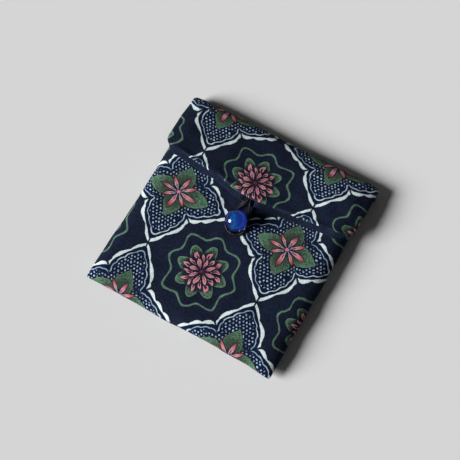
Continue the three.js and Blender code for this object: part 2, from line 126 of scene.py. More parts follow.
def crown(x, y):
    return CROWN * np.maximum(0, 1 - (x / HALF) ** 2) * np.maximum(0, 1 - (y / ROLL_Y) ** 2)


def thinner(y):
    """How much the filled pouch gets thinner towards its crease."""
    return SLOPE_DROP * np.clip((y - FLAP_LOW) / (SLOPE_END - FLAP_LOW), 0, 1) ** SLOPE_POWER


def seam_level(y):
    """The height of the sewn sides, midway between front and back."""
    return (FRONT_TOP - thinner(y)) / 2


def outer_part(x):
    """0 over most of the flap, growing to 1 at its sides."""
    return np.clip((np.abs(x) - DROOP_START) / (HALF_FLAP - DROOP_START), 0, 1)


def hills(x, y, table, start=0.0):
    """A sum of bell-shaped hills, each with a height, a middle and width across, and a middle and width along."""
    return sum((height * bell(x, mx, wx) * bell(y, my, wy) for height, mx, wx, my, wy in table), start)


def ripples(x, y, length, seed):
    """A random rolling surface with about unit height, from plane waves of about one length."""
    count = 14
    chance = np.random.default_rng(seed)
    total = np.zeros(np.broadcast(x, y).shape)
    for _ in range(count):
        turn = chance.uniform(0, 2 * math.pi)
        k = 2 * math.pi / (length * chance.uniform(0.7, 1.5))
        total += np.sin(k * (x * math.cos(turn) + y * math.sin(turn)) + chance.uniform(0, 2 * math.pi))
    return total / math.sqrt(count / 2)


# Meshes
UV_UNIT = 100  # millimetres of cloth in one unit of uv


def volume(mesh):
    """Six times the volume within a closed mesh. It is negative where the faces look inwards."""
    mesh.calc_loop_triangles()
    corners = np.empty(len(mesh.loop_triangles) * 3, dtype=np.int32)
    mesh.loop_triangles.foreach_get("vertices", corners)
    points = np.empty(len(mesh.vertices) * 3)
    mesh.vertices.foreach_get("co", points)
    a, b, c = points.reshape(-1, 3)[corners].reshape(-1, 3, 3).transpose(1, 0, 2)
    return float(np.sum(a * np.cross(b, c)))


def make_mesh(name, points, faces, uv=None, *, sharp):
    """A smooth mesh with edges that are sharp from an angle on. The uv are places on the cloth, in millimetres."""
    mesh = bpy.data.meshes.new(name)
    mesh.from_pydata([tuple(p) for p in np.asarray(points) * MM], [], [tuple(f) for f in faces])
    if volume(mesh) < 0:
        mesh.flip_normals()
    if uv is not None:
        layer = mesh.uv_layers.new(name="cloth")
        loops = np.empty(len(mesh.loops), dtype=np.int32)
        mesh.loops.foreach_get("vertex_index", loops)
        layer.data.foreach_set("uv", (np.asarray(uv)[loops] / UV_UNIT).astype(np.float32).ravel())
    mesh.polygons.foreach_set("use_smooth", [True] * len(mesh.polygons))
    mesh.set_sharp_from_angle(angle=math.radians(sharp))
    mesh.update()
    obj = bpy.data.objects.new(name, mesh)
    bpy.context.scene.collection.objects.link(obj)
    return obj


def set_attribute(obj, name, values):
    layer = obj.data.attributes.new(name, "FLOAT", "POINT")
    layer.data.foreach_set("value", np.asarray(values, dtype=np.float32).ravel())


def closed_sheet(name, outer, inner, uv, ends=4):
    """A closed body between two grids of points, joined by rounded rims of a few steps."""
    rows, cols = outer.shape[:2]
    points = [outer.reshape(-1, 3), inner.reshape(-1, 3)]
    uvs = [uv.reshape(-1, 2), uv.reshape(-1, 2)]
    faces = []
    n = rows * cols

    def index(i, j):
        return i * cols + j

    def inward(i, j):
        return outer[min(max(i, 1), rows - 2), min(max(j, 1), cols - 2)]

    for i in range(rows - 1):
        for j in range(cols - 1):
            a, b, c, d = index(i, j), index(i, j + 1), index(i + 1, j + 1), index(i + 1, j)
            faces.append((a, d, c, b))
            faces.append((n + a, n + b, n + c, n + d))
    ring = [(0, j) for j in range(cols)] + [(i, cols - 1) for i in range(1, rows)] + [
        (rows - 1, j) for j in range(cols - 2, -1, -1)] + [(i, 0) for i in range(rows - 2, 0, -1)]
    top = np.array([outer[i, j] for i, j in ring])
    low = np.array([inner[i, j] for i, j in ring])
    ring_uv = np.array([uv[i, j] for i, j in ring])
    # the way out, away from the next grid points inwards and square to the thickness
    out = np.array([outer[i, j] - inward(i, j) for i, j in ring])
    across = top - low
    thick = np.linalg.norm(across, axis=1, keepdims=True)
    across = across / np.maximum(thick, 1e-9)
    out -= across * np.sum(out * across, axis=1, keepdims=True)
    out /= np.maximum(np.linalg.norm(out, axis=1, keepdims=True), 1e-9)
    layers = [[index(i, j) for i, j in ring]]
    for step in range(1, ends):
        turn = math.pi * step / ends
        middle = (top + low) / 2 + across * thick / 2 * math.cos(turn) + out * thick / 2 * math.sin(turn)
        first = sum(map(len, points))
        layers.append(list(range(first, first + len(ring))))
        points.append(middle)
        uvs.append(ring_uv)
    layers.append([n + index(i, j) for i, j in ring])
    for a, b in zip(layers, layers[1:]):
        for k in range(len(ring)):
            m = (k + 1) % len(ring)
            faces.append((a[k], a[m], b[m], b[k]))
    return make_mesh(name, np.concatenate(points), faces, np.concatenate(uvs), sharp=60)


def sheet_values(values, ends):
    """One value for each point of a closed sheet, from a grid of values."""
    rows, cols = values.shape
    ring = np.concatenate([values[0], values[1:, -1], values[-1, :-1][::-1], values[1:-1, 0][::-1]])
    return np.concatenate([values.ravel(), values.ravel()] + [ring] * (ends - 1))


def normals_of(grid):
    """Unit normals of a grid of points, for rows that run along and columns across."""
    du = np.gradient(grid, axis=1)
    dv = np.gradient(grid, axis=0)
    normal = np.cross(dv, du)
    return normal / np.maximum(np.linalg.norm(normal, axis=2, keepdims=True), 1e-9)


def spread_ends(half, roll, middle):
    """Places from -half to half, closer together within a roll's width of each end."""
    inner = np.linspace(-(half - roll), half - roll, middle)
    turns = np.linspace(0, math.pi / 2, EDGE_STEPS, endpoint=False)
    ends = roll * (1 - np.cos(turns))
    return np.concatenate([-half + ends, inner, (half - ends)[::-1]])


def cloth_lengths(grid, middle_row):
    """How far along the cloth each point of a grid is: across from the middle column, and along from a row."""
    across = np.linalg.norm(np.diff(grid, axis=1), axis=2)
    across = np.concatenate([np.zeros((len(grid), 1)), np.cumsum(across, axis=1)], axis=1)
    middle = np.array([np.interp(0, grid[i, :, 0], across[i]) for i in range(len(grid))])
    across = across - middle[:, None]
    along = np.linalg.norm(np.diff(grid, axis=0), axis=2)
    along = np.concatenate([np.zeros((1, grid.shape[1])), np.cumsum(along, axis=0)], axis=0)
    return across, along - along[middle_row]


# Print. Its lattice repeats every PITCH millimetres across and along the cloth.
PITCH = (59.06, 55.21)
BLOSSOM = (-31.33, 4.4)  # the middle of the front's left blossom


class Value:
    """A number that a material works out with Math nodes."""

    tree = None

    def __init__(self, socket):
        self.socket = socket

    def __add__(self, other):
        return calc("ADD", self, other)

    def __mul__(self, other):
        return calc("MULTIPLY", self, other)

    __rmul__ = __mul__

    def __sub__(self, other):
        return calc("SUBTRACT", self, other)

    def __rsub__(self, other):
        return calc("SUBTRACT", other, self)

    def __pow__(self, other):
        return calc("POWER", self, other)


def set_inputs(node, values):
    for name, value in values.items():
        node.inputs[name].default_value = value


def calc(operation, *values):
    """The result of a Math node. Each value is a Value or a number."""
    node = Value.tree.nodes.new("ShaderNodeMath")
    node.operation = operation
    for socket, value in zip(node.inputs, values):
        if isinstance(value, Value):
            Value.tree.links.new(value.socket, socket)
        else:
            socket.default_value = value
    return Value(node.outputs[0])


def absolute(a):
    return calc("ABSOLUTE", a)


def least(a, b):
    return calc("MINIMUM", a, b)


def most(a, b):
    return calc("MAXIMUM", a, b)


def root(a):
    return calc("SQRT", a)


def sine(a):
    return calc("SINE", a)


def cosine(a):
    return calc("COSINE", a)


def distance(x, y):
    return root(x * x + y * y)


def angle_of(y, x):
    return calc("ARCTAN2", y, x)


def nearest(a):
    return calc("ROUND", a)


def wrapped(a, half):
    """A number moved by whole steps to between -half and half."""
    return calc("WRAP", a, half, -half)


def above(a, b):
    return calc("GREATER_THAN", a, b)


def ramp(low, high, value):
    """0 below low and 1 above high, smooth between. It falls where low is the greater."""
    node = Value.tree.nodes.new("ShaderNodeMapRange")
    node.interpolation_type = "SMOOTHSTEP"
    Value.tree.links.new(value.socket, node.inputs["Value"])
    for name, end in (("From Min", low), ("From Max", high)):
        if isinstance(end, Value):
            Value.tree.links.new(end.socket, node.inputs[name])
        else:
            node.inputs[name].default_value = end
    return Value(node.outputs["Result"])


def band(low, high, value, soft):
    """1 between low and high, with soft sides."""
    return ramp(low - soft, low + soft, value) * ramp(high + soft, high - soft, value)


def noise(u, v, scale, detail, seed, rough=0.5):
    """Soft noise, mostly from 0.3 to 0.7. Another seed gives another pattern."""
    node = Value.tree.nodes.new("ShaderNodeTexNoise")
    set_inputs(node, {"Scale": scale, "Detail": detail, "Roughness": rough})
    join = Value.tree.nodes.new("ShaderNodeCombineXYZ")
    Value.tree.links.new(u.socket, join.inputs[0])
    Value.tree.links.new(v.socket, join.inputs[1])
    join.inputs[2].default_value = seed
    Value.tree.links.new(join.outputs[0], node.inputs["Vector"])
    return Value(node.outputs["Fac"])


def stray(x, y, scale, seed, reach):
    """A soft random shift to either side."""
    return (noise(x, y, scale, 1.0, seed) - 0.5) * reach


def srgb(r, g, b):
    """The linear colour of one given from 0 to 255."""
    def one(c):
        c /= 255
        return c / 12.92 if c <= 0.04045 else ((c + 0.055) / 1.055) ** 2.4
    return (one(r), one(g), one(b), 1)


def laid_over(base, colour, mask):
    """One colour over another, where the mask is 1."""
    node = Value.tree.nodes.new("ShaderNodeMix")
    node.data_type = "RGBA"
    Value.tree.links.new(mask.socket, node.inputs[0])
    for socket, value in ((node.inputs[6], base), (node.inputs[7], colour)):
        if isinstance(value, tuple):
            socket.default_value = value
        else:
            Value.tree.links.new(value, socket)
    return node.outputs[2]


def lens(t, n, start, tip, half):
    """Depth inside a petal that runs from start to a blunt tip, with its widest place past the middle."""
    share = most(least((t - start) * (1 / (tip - start)), 1.6), -0.3)
    width = share * (1 - share) * (share * 0.9 + 0.5) * (4 * half)
    return width - absolute(n)


# The blossom's petals: direction in degrees, reach and half width
PETALS = (
    (176, 9.2, 0.68), (134, 8.0, 0.76), (78, 7.8, 0.94), (35, 8.4, 0.76),
    (-5, 10.2, 0.96), (-43, 7.8, 0.8), (-96, 9.3, 1.05), (-147, 7.8, 0.72),
)

NAVY = srgb(24, 32, 51)
DEEP = srgb(16, 22, 37)
TEAL = srgb(11, 25, 50)
BLACK = srgb(10, 12, 21)
WHITE = srgb(208, 221, 222)
PALE = srgb(140, 162, 184)
DOT = srgb(170, 192, 212)
LEAF = srgb(80, 113, 90)
LEAF_DARK = srgb(48, 68, 58)
LEAF_LINE = srgb(104, 138, 114)
BROWN = srgb(36, 34, 32)
CORAL = srgb(190, 121, 131)
CORAL_PALE = srgb(210, 160, 166)
CORAL_RED = srgb(122, 42, 54)
PURPLE = srgb(26, 22, 42)
# a lighter tone for wear and for painted highlight and sheen
WEAR_AND_SHEEN = srgb(70, 78, 92)
NO_LIGHT = (0, 0, 0, 1)

DOT_ROW = 1.5  # between the rows of dots
DOT_STEP = 1.76  # between the dots of a row


def narrowing(a, half, start, over, power):
    """Half the width of a lobe at a distance along it. It narrows from start on, to nothing over a length."""
    return half * (1 - (most(a - start, 0.0) * (1 / over)) ** power)


def blossom(x, y, colour, thin):
    """The four-lobed blossom of the lattice's crossings, laid over a colour. Its white line can be thinner."""
    ax, ay = absolute(x), absolute(y)
    tall = narrowing(ay, 12, 12, 15.3, 1.38)
    wide = narrowing(ax, 10.5, 12.5, 16.2, 1.15)
    upright = (tall - ax) * 0.77
    sideways = (wide - ay) * 0.8
    is_up = above(upright, sideways)
    place = ax + (ay - ax) * is_up  # how far out along the lobe
    depth = most(upright, sideways)
    # dark lobes with a scalloped white line, broken where they cross
    scallop = absolute(sine(place * (0.582 - is_up * 0.199) + is_up * 5.3 - 13.27))
    colour = laid_over(colour, TEAL, ramp(0.6, 1.2, depth))
    broken = ramp(0.25, 0.9, absolute(upright - sideways)) * ramp(0.3, 0.55, least(ax, ay))
    inner = scallop * 0.1 + noise(x, y, 0.12, 1.0, seed=3.0) * 1.1 + 0.4 - thin * 0.75
    line = ramp(-0.12, 0.12, depth + scallop * 0.9 - 0.5) * ramp(0.12, -0.12, depth - inner) * broken
    colour = laid_over(colour, WHITE, line)
    # inner line and dots, with a rounded tip
    soft_up = (tall - root(x * x + 3.5)) * 0.77
    soft_side = (wide - root(y * y + 3.5)) * 0.8
    within = most(soft_up, soft_side)
    rib = within + absolute(sine(place * 0.766 - 15.93)) * 0.5
    fade = noise(x, y, 0.16, 1.0, seed=4.0)
    rib_line = band(2.4, 2.74, rib, 0.12) * ramp(0.1, 0.7, absolute(upright - sideways))
    colour = laid_over(colour, PALE, rib_line)
    colour = laid_over(colour, WHITE, rib_line * ramp(0.45, 0.65, fade) * 0.7)
    shake = noise(x, y, 0.4, 1.0, seed=7.0) * 1.4
    row = nearest((y + shake) * (1 / DOT_ROW))
    off_row = y + shake - row * DOT_ROW
    along = (x - shake) * (1 / DOT_STEP) + row * 0.5
    off_along = (along - nearest(along)) * DOT_STEP
    dots = ramp(0.5, 0.26, distance(off_row, off_along)) * ramp(3.35, 3.55, rib)
    colour = laid_over(colour, DOT, dots * ramp(0.25, 0.6, noise(x, y, 0.7, 1.0, seed=15.0)))
    # leaves
    bump = sine((ax + ay) * 1.7) * 0.16
    leaf_up = (narrowing(ay, 4.85, 5.3, 8.0, 1.8) - ax) * 0.85
    leaf_side = (narrowing(ax, 4.3, 8.4, 7.0, 1.8) - ay) * 0.85
    leaf = most(leaf_up, leaf_side) + bump
    colour = laid_over(colour, BLACK, ramp(-0.8, -0.35, leaf) * 0.75)
    veins = noise(x, y, 1.5, 4.0, seed=8.0, rough=0.7)
    green = laid_over(LEAF_DARK, LEAF, ramp(0.42, 0.55, veins))
    green = laid_over(green, LEAF_LINE, ramp(0.54, 0.64, veins) * 0.8)
    green = laid_over(green, LEAF_LINE, ramp(0.9, 0.3, leaf) * 0.35)
    green = laid_over(green, LEAF_DARK, noise(x, y, 0.22, 1.0, seed=16.0) * ramp(11.0, 6.0, ax + ay) * 0.8)
    colour = laid_over(colour, green, ramp(-0.1, 0.15, leaf))
    # petals
    reach = distance(x, y)
    colour = laid_over(colour, BROWN, ramp(12.0, 6.0, reach + noise(x, y, 0.35, 2.0, seed=17.0) * 5 - 2.5) * 0.55)
    colour = laid_over(colour, PURPLE, ramp(4.3, 2.8, reach) * 0.9)
    for degrees, tip, half in PETALS:
        cx, cy = math.cos(math.radians(degrees)), math.sin(math.radians(degrees))
        t = x * cx + y * cy
        n = y * cx - x * cy
        inside = lens(t, n, 0.9, tip, half)
        colour = laid_over(colour, PURPLE, ramp(-0.6, -0.25, inside) * ramp(1.2, 2.0, t) * 0.85)
        tone = laid_over(CORAL, CORAL_RED, ramp(tip * 0.5, tip * 0.98, t) * (1.0 if half > 1 else 0.8))
        tone = laid_over(tone, CORAL_PALE, ramp(0.45, 0.2, inside) * ramp(tip * 0.7, tip * 0.45, t) * 0.7)
        tone = laid_over(tone, PURPLE, ramp(0.34, 0.14, absolute(n)) * band(1.5, tip * 0.5, t, 0.8) * 0.9)
        colour = laid_over(colour, tone, ramp(-0.1, 0.12, inside))
    spokes = ramp(0.2, 0.8, cosine(angle_of(y, x) * 8))
    colour = laid_over(colour, PALE, band(1.5, 2.8, reach, 0.3) * spokes * 0.5)
    return laid_over(colour, CORAL, ramp(0.95, 0.7, reach))


def ring(r, turn, start, tip, half, colour, shift, heart):
    """Eight petals in a ring, laid over a colour. They can be shifted by part of a step. Heart is how dark the line
    in each petal is."""
    quarter = math.pi / 4
    fold = wrapped(turn + shift * quarter, quarter / 2)
    t = r * cosine(fold)
    n = r * sine(fold)
    inside = lens(t, n, start, tip, half)
    colour = laid_over(colour, PURPLE, ramp(-0.6, -0.25, inside) * ramp(start - 0.5, start, t))
    tone = laid_over(CORAL_PALE, CORAL, ramp(0.0, 0.35, inside))
    tone = laid_over(tone, CORAL_RED, ramp(0.3, 0.8, inside) * ramp(9.0, 5.0, r) * 0.35)
    colour = laid_over(colour, tone, ramp(-0.1, 0.12, inside))
    notch = ramp(0.5, 0.24, absolute(n)) * band(start + 0.5, start + 2.5, t, 0.4)
    return laid_over(colour, PURPLE, notch * heart)


def medallion(x, y, colour):
    """The round flower between the blossoms, laid over a colour."""
    r = distance(x, y)
    turn = angle_of(y, x)
    eight = cosine(turn * 8) * 0.75 + (0.55 - absolute(sine(turn * 4))) * 0.3
    rim = eight * 1.75 + 16.5 - cosine(turn * 4) * 0.45 - r
    worn = noise(x, y, 0.5, 2.0, seed=18.0)
    colour = laid_over(colour, LEAF_LINE, ramp(0.66, 0.26, absolute(rim)) * (worn * 0.9 + 0.2))
    lobe = absolute(cosine(turn * 4)) ** 1.4 * 4.4 + 8.8 - r
    colour = laid_over(colour, BLACK, ramp(-0.6, -0.3, lobe) * 0.6)
    fill = noise(x, y, 0.9, 3.0, seed=5.0, rough=0.65)
    green = laid_over(LEAF_DARK, LEAF, ramp(0.4, 0.58, fill))
    green = laid_over(green, BLACK, ramp(1.2, 2.2, lobe) * ramp(-5.0, 1.0, y) * 0.45)
    green = laid_over(green, LEAF_LINE, ramp(1.3, 0.7, lobe) * 0.5)
    colour = laid_over(colour, green, ramp(-0.05, 0.15, lobe))
    colour = laid_over(colour, PURPLE, ramp(10.4, 8.6, r) * 0.9)
    r = r + stray(x, y, 0.3, 9.0, 1.6)
    turn = turn + stray(x, y, 0.22, 10.0, 0.45)
    colour = ring(r, turn, 5.7, 10.1, 0.9, colour, 0, 0.95)
    colour = ring(r, turn, 4.2, 8.4, 0.76, colour, 0.5, 0.95)
    colour = ring(r, turn, 1.4, 6.3, 0.8, colour, 0, 0.5)
    colour = laid_over(colour, PURPLE, ramp(3.4, 1.6, r) * 0.75)
    return laid_over(colour, CORAL_RED, ramp(1.1, 0.4, r) * 0.6)


def new_material(name):
    material = bpy.data.materials.new(name)
    material.use_nodes = True
    tree = material.node_tree
    Value.tree = tree
    return material, tree, tree.nodes["Principled BSDF"]


def cloth_place():
    """Where a point is on the cloth, in millimetres."""
    tree = Value.tree
    uv = tree.nodes.new("ShaderNodeUVMap")
    uv.uv_map = "cloth"
    split = tree.nodes.new("ShaderNodeSeparateXYZ")
    tree.links.new(uv.outputs[0], split.inputs[0])
    return Value(split.outputs[0]) * UV_UNIT, Value(split.outputs[1]) * UV_UNIT


def add_bump(shader, height, strength, distance):
    """Fine relief, its distance in metres."""
    bump = Value.tree.nodes.new("ShaderNodeBump")
    set_inputs(bump, {"Strength": strength, "Distance": distance})
    Value.tree.links.new(height.socket, bump.inputs["Height"])
    Value.tree.links.new(bump.outputs[0], shader.inputs["Normal"])


def weave(u, v, shader, pitch):
    """Plain weave as a bump: threads over and under one another, with slubs."""
    across = sine(u * (2 * math.pi / pitch))
    along = sine(v * (2 * math.pi / pitch))
    height = across * along * 0.5 + noise(u, v, 1.1, 3.0, seed=1.0) * 2.2
    add_bump(shader, height, 0.5, 0.0001)


# Places in the print, from the front's left blossom
THIN_LINE = (41.4, 7.3)  # where the white line is thin
# where shade is painted into the print below the bead
SHADE_BELOW_BEAD = (35.2, -3.3)


def printed_cotton():
    material, tree, shader = new_material("printed_cotton")
    u, v = cloth_place()
    # cotton takes the print a little out of true
    u2 = u + stray(u, v, 0.09, 11.0, 1.6) + stray(u, v, 0.5, 12.0, 0.5)
    v2 = v + stray(u, v, 0.09, 13.0, 1.6) + stray(u, v, 0.5, 14.0, 0.5)
    mottle = noise(u, v, 0.9, 4.0, seed=2.0, rough=0.6)
    ground = laid_over(DEEP, NAVY, ramp(0.3, 0.62, mottle))
    half_x, half_y = PITCH[0] / 2, PITCH[1] / 2
    x, y = wrapped(u2, half_x), wrapped(v2, half_y)
    colour = blossom(x, y, ground, ramp(9.0, 4.0, distance(u - THIN_LINE[0], v - THIN_LINE[1])))
    x, y = wrapped(u2 + half_x, half_x), wrapped(v2 + half_y, half_y)
    colour = medallion(x, y, colour)
    # painted shade: the print is darkened to the plain ground where the cord passes below the bead, in the shade of
    # bead and cord
    colour = laid_over(colour, DEEP, ramp(2.7, 2.0, distance(u - SHADE_BELOW_BEAD[0], v - SHADE_BELOW_BEAD[1])))
    # threads show through the print, and it is lighter where the attribute is above 0, from wear with a painted
    # highlight and a painted sheen, and darker where it is below 0, a painted shade
    grain = noise(u, v, 2.2, 3.0, seed=6.0)
    hue = tree.nodes.new("ShaderNodeHueSaturation")
    tree.links.new(colour, hue.inputs["Color"])
    tree.links.new((grain * 1.6 + 0.2).socket, hue.inputs["Value"])
    wear_sheen_and_shade = tree.nodes.new("ShaderNodeAttribute")
    wear_sheen_and_shade.attribute_name = "wear_sheen_and_shade"
    amount = Value(wear_sheen_and_shade.outputs["Fac"])
    # lighter: wear, with a painted highlight on the crease and a painted sheen on the turned edge
    worn = laid_over(hue.outputs[0], WEAR_AND_SHEEN, most(amount, 0.0) * 0.5)
    # darker: painted shade
    worn = laid_over(worn, NO_LIGHT, least(most(amount * -1, 0.0), 1.0))
    tree.links.new(worn, shader.inputs["Base Color"])
    set_inputs(shader, {"Roughness": 0.95, "Specular IOR Level": 0.06, "Sheen Weight": 0.015, "Sheen Roughness": 0.5})
    weave(u, v, shader, 0.42)
    return material


def plain_cotton(name, dark, light):
    material, tree, shader = new_material(name)
    u, v = cloth_place()
    mottle = noise(u, v, 0.9, 5.0, seed=21.0, rough=0.7)
    tree.links.new(laid_over(dark, light, ramp(0.36, 0.62, mottle)), shader.inputs["Base Color"])
    set_inputs(shader, {"Roughness": 0.95, "Specular IOR Level": 0.15})
    weave(u, v, shader, 0.5)
    return material


PRINT = printed_cotton()
LINING = plain_cotton("lining_cotton", srgb(15, 22, 37), srgb(26, 36, 59))
SEAM = plain_cotton("seam_cotton", srgb(22, 27, 40), srgb(44, 50, 68))


# Pocket: one strip of cloth, from the mouth down the front, round the bottom fold and up the back
def side_wobble(x, y):
    """How far the sewn sides stray from straight: the left one leans in towards the flap."""
    edge = np.clip((np.abs(x) - 25) / 24, 0, 1) ** 2
    lean = np.interp(y, [-48, -40, -28, -20, -8, 16, 30, 50], [0, 0.2, 0.6, 1.3, 1.9, 2.4, 2.6, 1.2])
    dx = 0.2 * ripples(np.sign(x) * 200.0, y, 22, 5) * edge
    return dx + lean * np.clip((-x - 10) / 39, 0, 1)


def handmade(x, y):
    """Where a point of the pocket's straight outline lies in the sewn one."""
    edge = np.clip((-y - 40) / 10, 0, 1)
    sag = np.interp(x, [-50, -38, -30, -22, -14, -5, 6, 20, 32, 42, 50],
                    [0.1, 0.5, 0.2, -0.5, -0.5, 0.2, -0.3, -0.9, -0.6, -0.05, -0.3])
    return np.stack([x + side_wobble(x, y), y + (0.3 * ripples(x, 300.0, 24, 7) - sag) * edge], axis=-1)


def pocket_strip(half, bottom, roll, top, below, radius, high, columns):
    """The outer face of a strip that lies down the front, round the bottom fold and up the back. With it come the
    number of its row at the middle of the front, and how many rows the front has."""
    xs = spread_ends(half, roll, columns)
    turns = np.linspace(0, math.pi / 2, EDGE_STEPS)
    edge_rows = bottom + roll * (1 - np.cos(turns[::-1]))  # from inside to the fold
    front_rows = np.concatenate([np.linspace(high, bottom + roll, FRONT_STEPS), edge_rows[1:]])
    back_rows = np.concatenate([edge_rows[::-1][1:], np.linspace(bottom + roll, BACK_END, BACK_STEPS)[1:]])

    def front(x, y):
        level = seam_level(y) + SEAM_GAP
        face = top + crown(x, y) - thinner(y)
        share = rounding(half - np.abs(x), roll) * rounding(y - bottom, roll)
        wrinkle = 0.10 * ripples(x, y, 9, 1) + 0.22 * ripples(x, y, 26, 2)
        return level + (face - level + wrinkle) * share

    def back(x, y):
        level = seam_level(y) - SEAM_GAP - below
        side = 1 - rounding(half - np.abs(x), roll)
        end = 1 - rounding(y - bottom, roll)
        up = 1 - (1 - side * (1 - smooth(MOUTH, ROLL_Y + radius * math.pi / 2, y))) * (1 - end)
        return below + LIE + level * up + 0.2 * smooth(ROLL_Y - 0.1, BACK_END, y)

    grid = []
    for rows, height in ((front_rows, front), (back_rows, back)):
        for row in rows:
            y = np.full_like(xs, row)
            grid.append(np.stack([xs, y, height(xs, y)], axis=1))
    grid = np.array(grid)
    grid[..., :2] = handmade(grid[..., 0], grid[..., 1])
    middle_row = int(np.argmin(np.abs(front_rows)))
    return grid, middle_row, len(front_rows)


# Where the front's print strays from its lattice, to the right and up. The columns are those of hills.
PRINT_ASIDE = ((0.5, -27, 9, 12, 8), (1.3, -14, 8, 12, 7), (1.2, 15, 7, 12, 7), (-2.0, 48, 5, -18, 8))
PRINT_RISE = (
    (0.9, -2, 6, 15, 4), (-0.45, 6, 22, -8, 12), (-1.8, -22, 13, -46, 7), (0.9, 8, 9, -46, 7),
    (-0.6, 29, 7, -46, 7), (-2.8, 45, 6, -13, 5), (-1.3, 47, 5, -23, 6),
)


def pocket_cloth():
    """Outer and inner face of the pocket's printed cloth, and each point's place in the print."""
    grid, row, fronts = pocket_strip(HALF, BOTTOM, roll=SIDE_ROLL, top=FRONT_TOP, below=0, radius=CREASE_R,
                                     high=MOUTH - 0.8, columns=64)
    y = grid[..., 1]
    on_front = np.arange(len(grid))[:, None] < fronts
    # at the mouth the cloth is turned over on itself
    hem = np.where(on_front, smooth(MOUTH - 3.0, MOUTH - 1.8, y), 0)
    outer = grid + normals_of(grid) * [CLOTH, CLOTH, 0]
    inner = outer - normals_of(outer) * (CLOTH + 0.75 * hem)[..., None]
    across, along = cloth_lengths(grid, row)
    x = grid[..., 0]
    aside = hills(x, y, PRINT_ASIDE)
    rise = hills(x, y, PRINT_RISE, 0.8 * smooth(-45, 0, y))
    turned = smooth(fronts, len(grid), np.arange(len(grid)))[:, None]
    u = across - BLOSSOM[0] - 1.3 * turned - np.where(on_front, aside, 0)
    v = -along - BLOSSOM[1] - np.where(on_front, rise, 0)
    return outer, inner, np.stack([u, v], axis=2)


grid, inner, uv = pocket_cloth()
pocket_end = grid[-1, :, 0], uv[-1]
pocket = closed_sheet("pocket_cloth", grid, inner, uv)
pocket.data.materials.append(PRINT)
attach(pocket, "pocket")
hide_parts("front_panel", "back_panel", "mouth_edge")

# Its lining
grid, row, _ = pocket_strip(HALF - LINING_INSET, BOTTOM + LINING_BOTTOM_INSET, roll=LINING_ROLL, top=FRONT_TOP - 1.15,
                            below=1.12, radius=CREASE_R - 1.1, high=MOUTH - 2.4, columns=40)
inner = grid - normals_of(grid) * LINING_CLOTH
across, along = cloth_lengths(grid, row)
lining = closed_sheet("pocket_lining", grid, inner, np.stack([across, along], axis=2), ends=3)
lining.data.materials.append(LINING)
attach(lining, "pocket")
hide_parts("front_lining", "back_lining")


# Side seams: the allowances of front and back, stitched together and turned inside
SEAM_WIDTH = 3.4
SEAM_CLOTH = 0.36  # half the thickness of the two layers
STITCH = 2.4


def seam_strip(name, side):
    rows = np.linspace(BOTTOM + 5.0, MOUTH - 3.2, 90)
    across = np.linspace(0, 1, 9)
    upper, lower, uv = [], [], []
    for y in rows:
        x = side * (HALF - 1.35 - SEAM_WIDTH * across - 0.15 * ripples(y, 40.0 * side, 11, 51) * across)
        curl = 0.18 * np.sin(across * 4 + y * 0.7) * across + 0.12 * ripples(y, across * 3, 7, 52)
        stitch = 0.16 * bell(across, 0.3, 0.12) * (0.5 + 0.5 * math.cos(2 * math.pi * y / STITCH))
        z = seam_level(y) + 0 * x
        ys = np.full_like(x, y)
        upper.append(np.stack([x, ys, z + SEAM_CLOTH + curl * 0.5 - stitch], axis=1))
        lower.append(np.stack([x, ys, z - SEAM_CLOTH + curl * 0.5 + stitch], axis=1))
        uv.append(np.stack([SEAM_WIDTH * across, ys], axis=1))
    upper, lower, uv = np.array(upper), np.array(lower), np.array(uv)
    for part in (upper, lower):
        part[..., :2] = handmade(part[..., 0], part[..., 1])
    if side > 0:
        upper, lower, uv = upper[:, ::-1], lower[:, ::-1], uv[:, ::-1]
    piece = closed_sheet(name, upper, lower, uv)
    piece.data.materials.append(SEAM)
    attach(piece, "pocket")
    return piece


for name, side in (("left_side_seam", -1), ("right_side_seam", 1)):
    piece = seam_strip(name.replace("side_seam", "allowance"), side)
    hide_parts(name)


# Flap: the strip goes on from the back, round the crease, and down over the front
def flap_low(x):
    """Where the printed cloth of the flap ends."""
    return np.interp(x, [-50, -45, -40, -30, -20, -10, -4, 2, 10, 20, 30, 40, 45, 50],
                     [22.6, 22.2, 21.6, 21.0, 20.0, 18.2, 17.4, 17.4, 18.2, 19.1, 20.4, 21.6, 22.3, 23.0]) + (
        0.12 * ripples(x, 80.0, 9, 9))


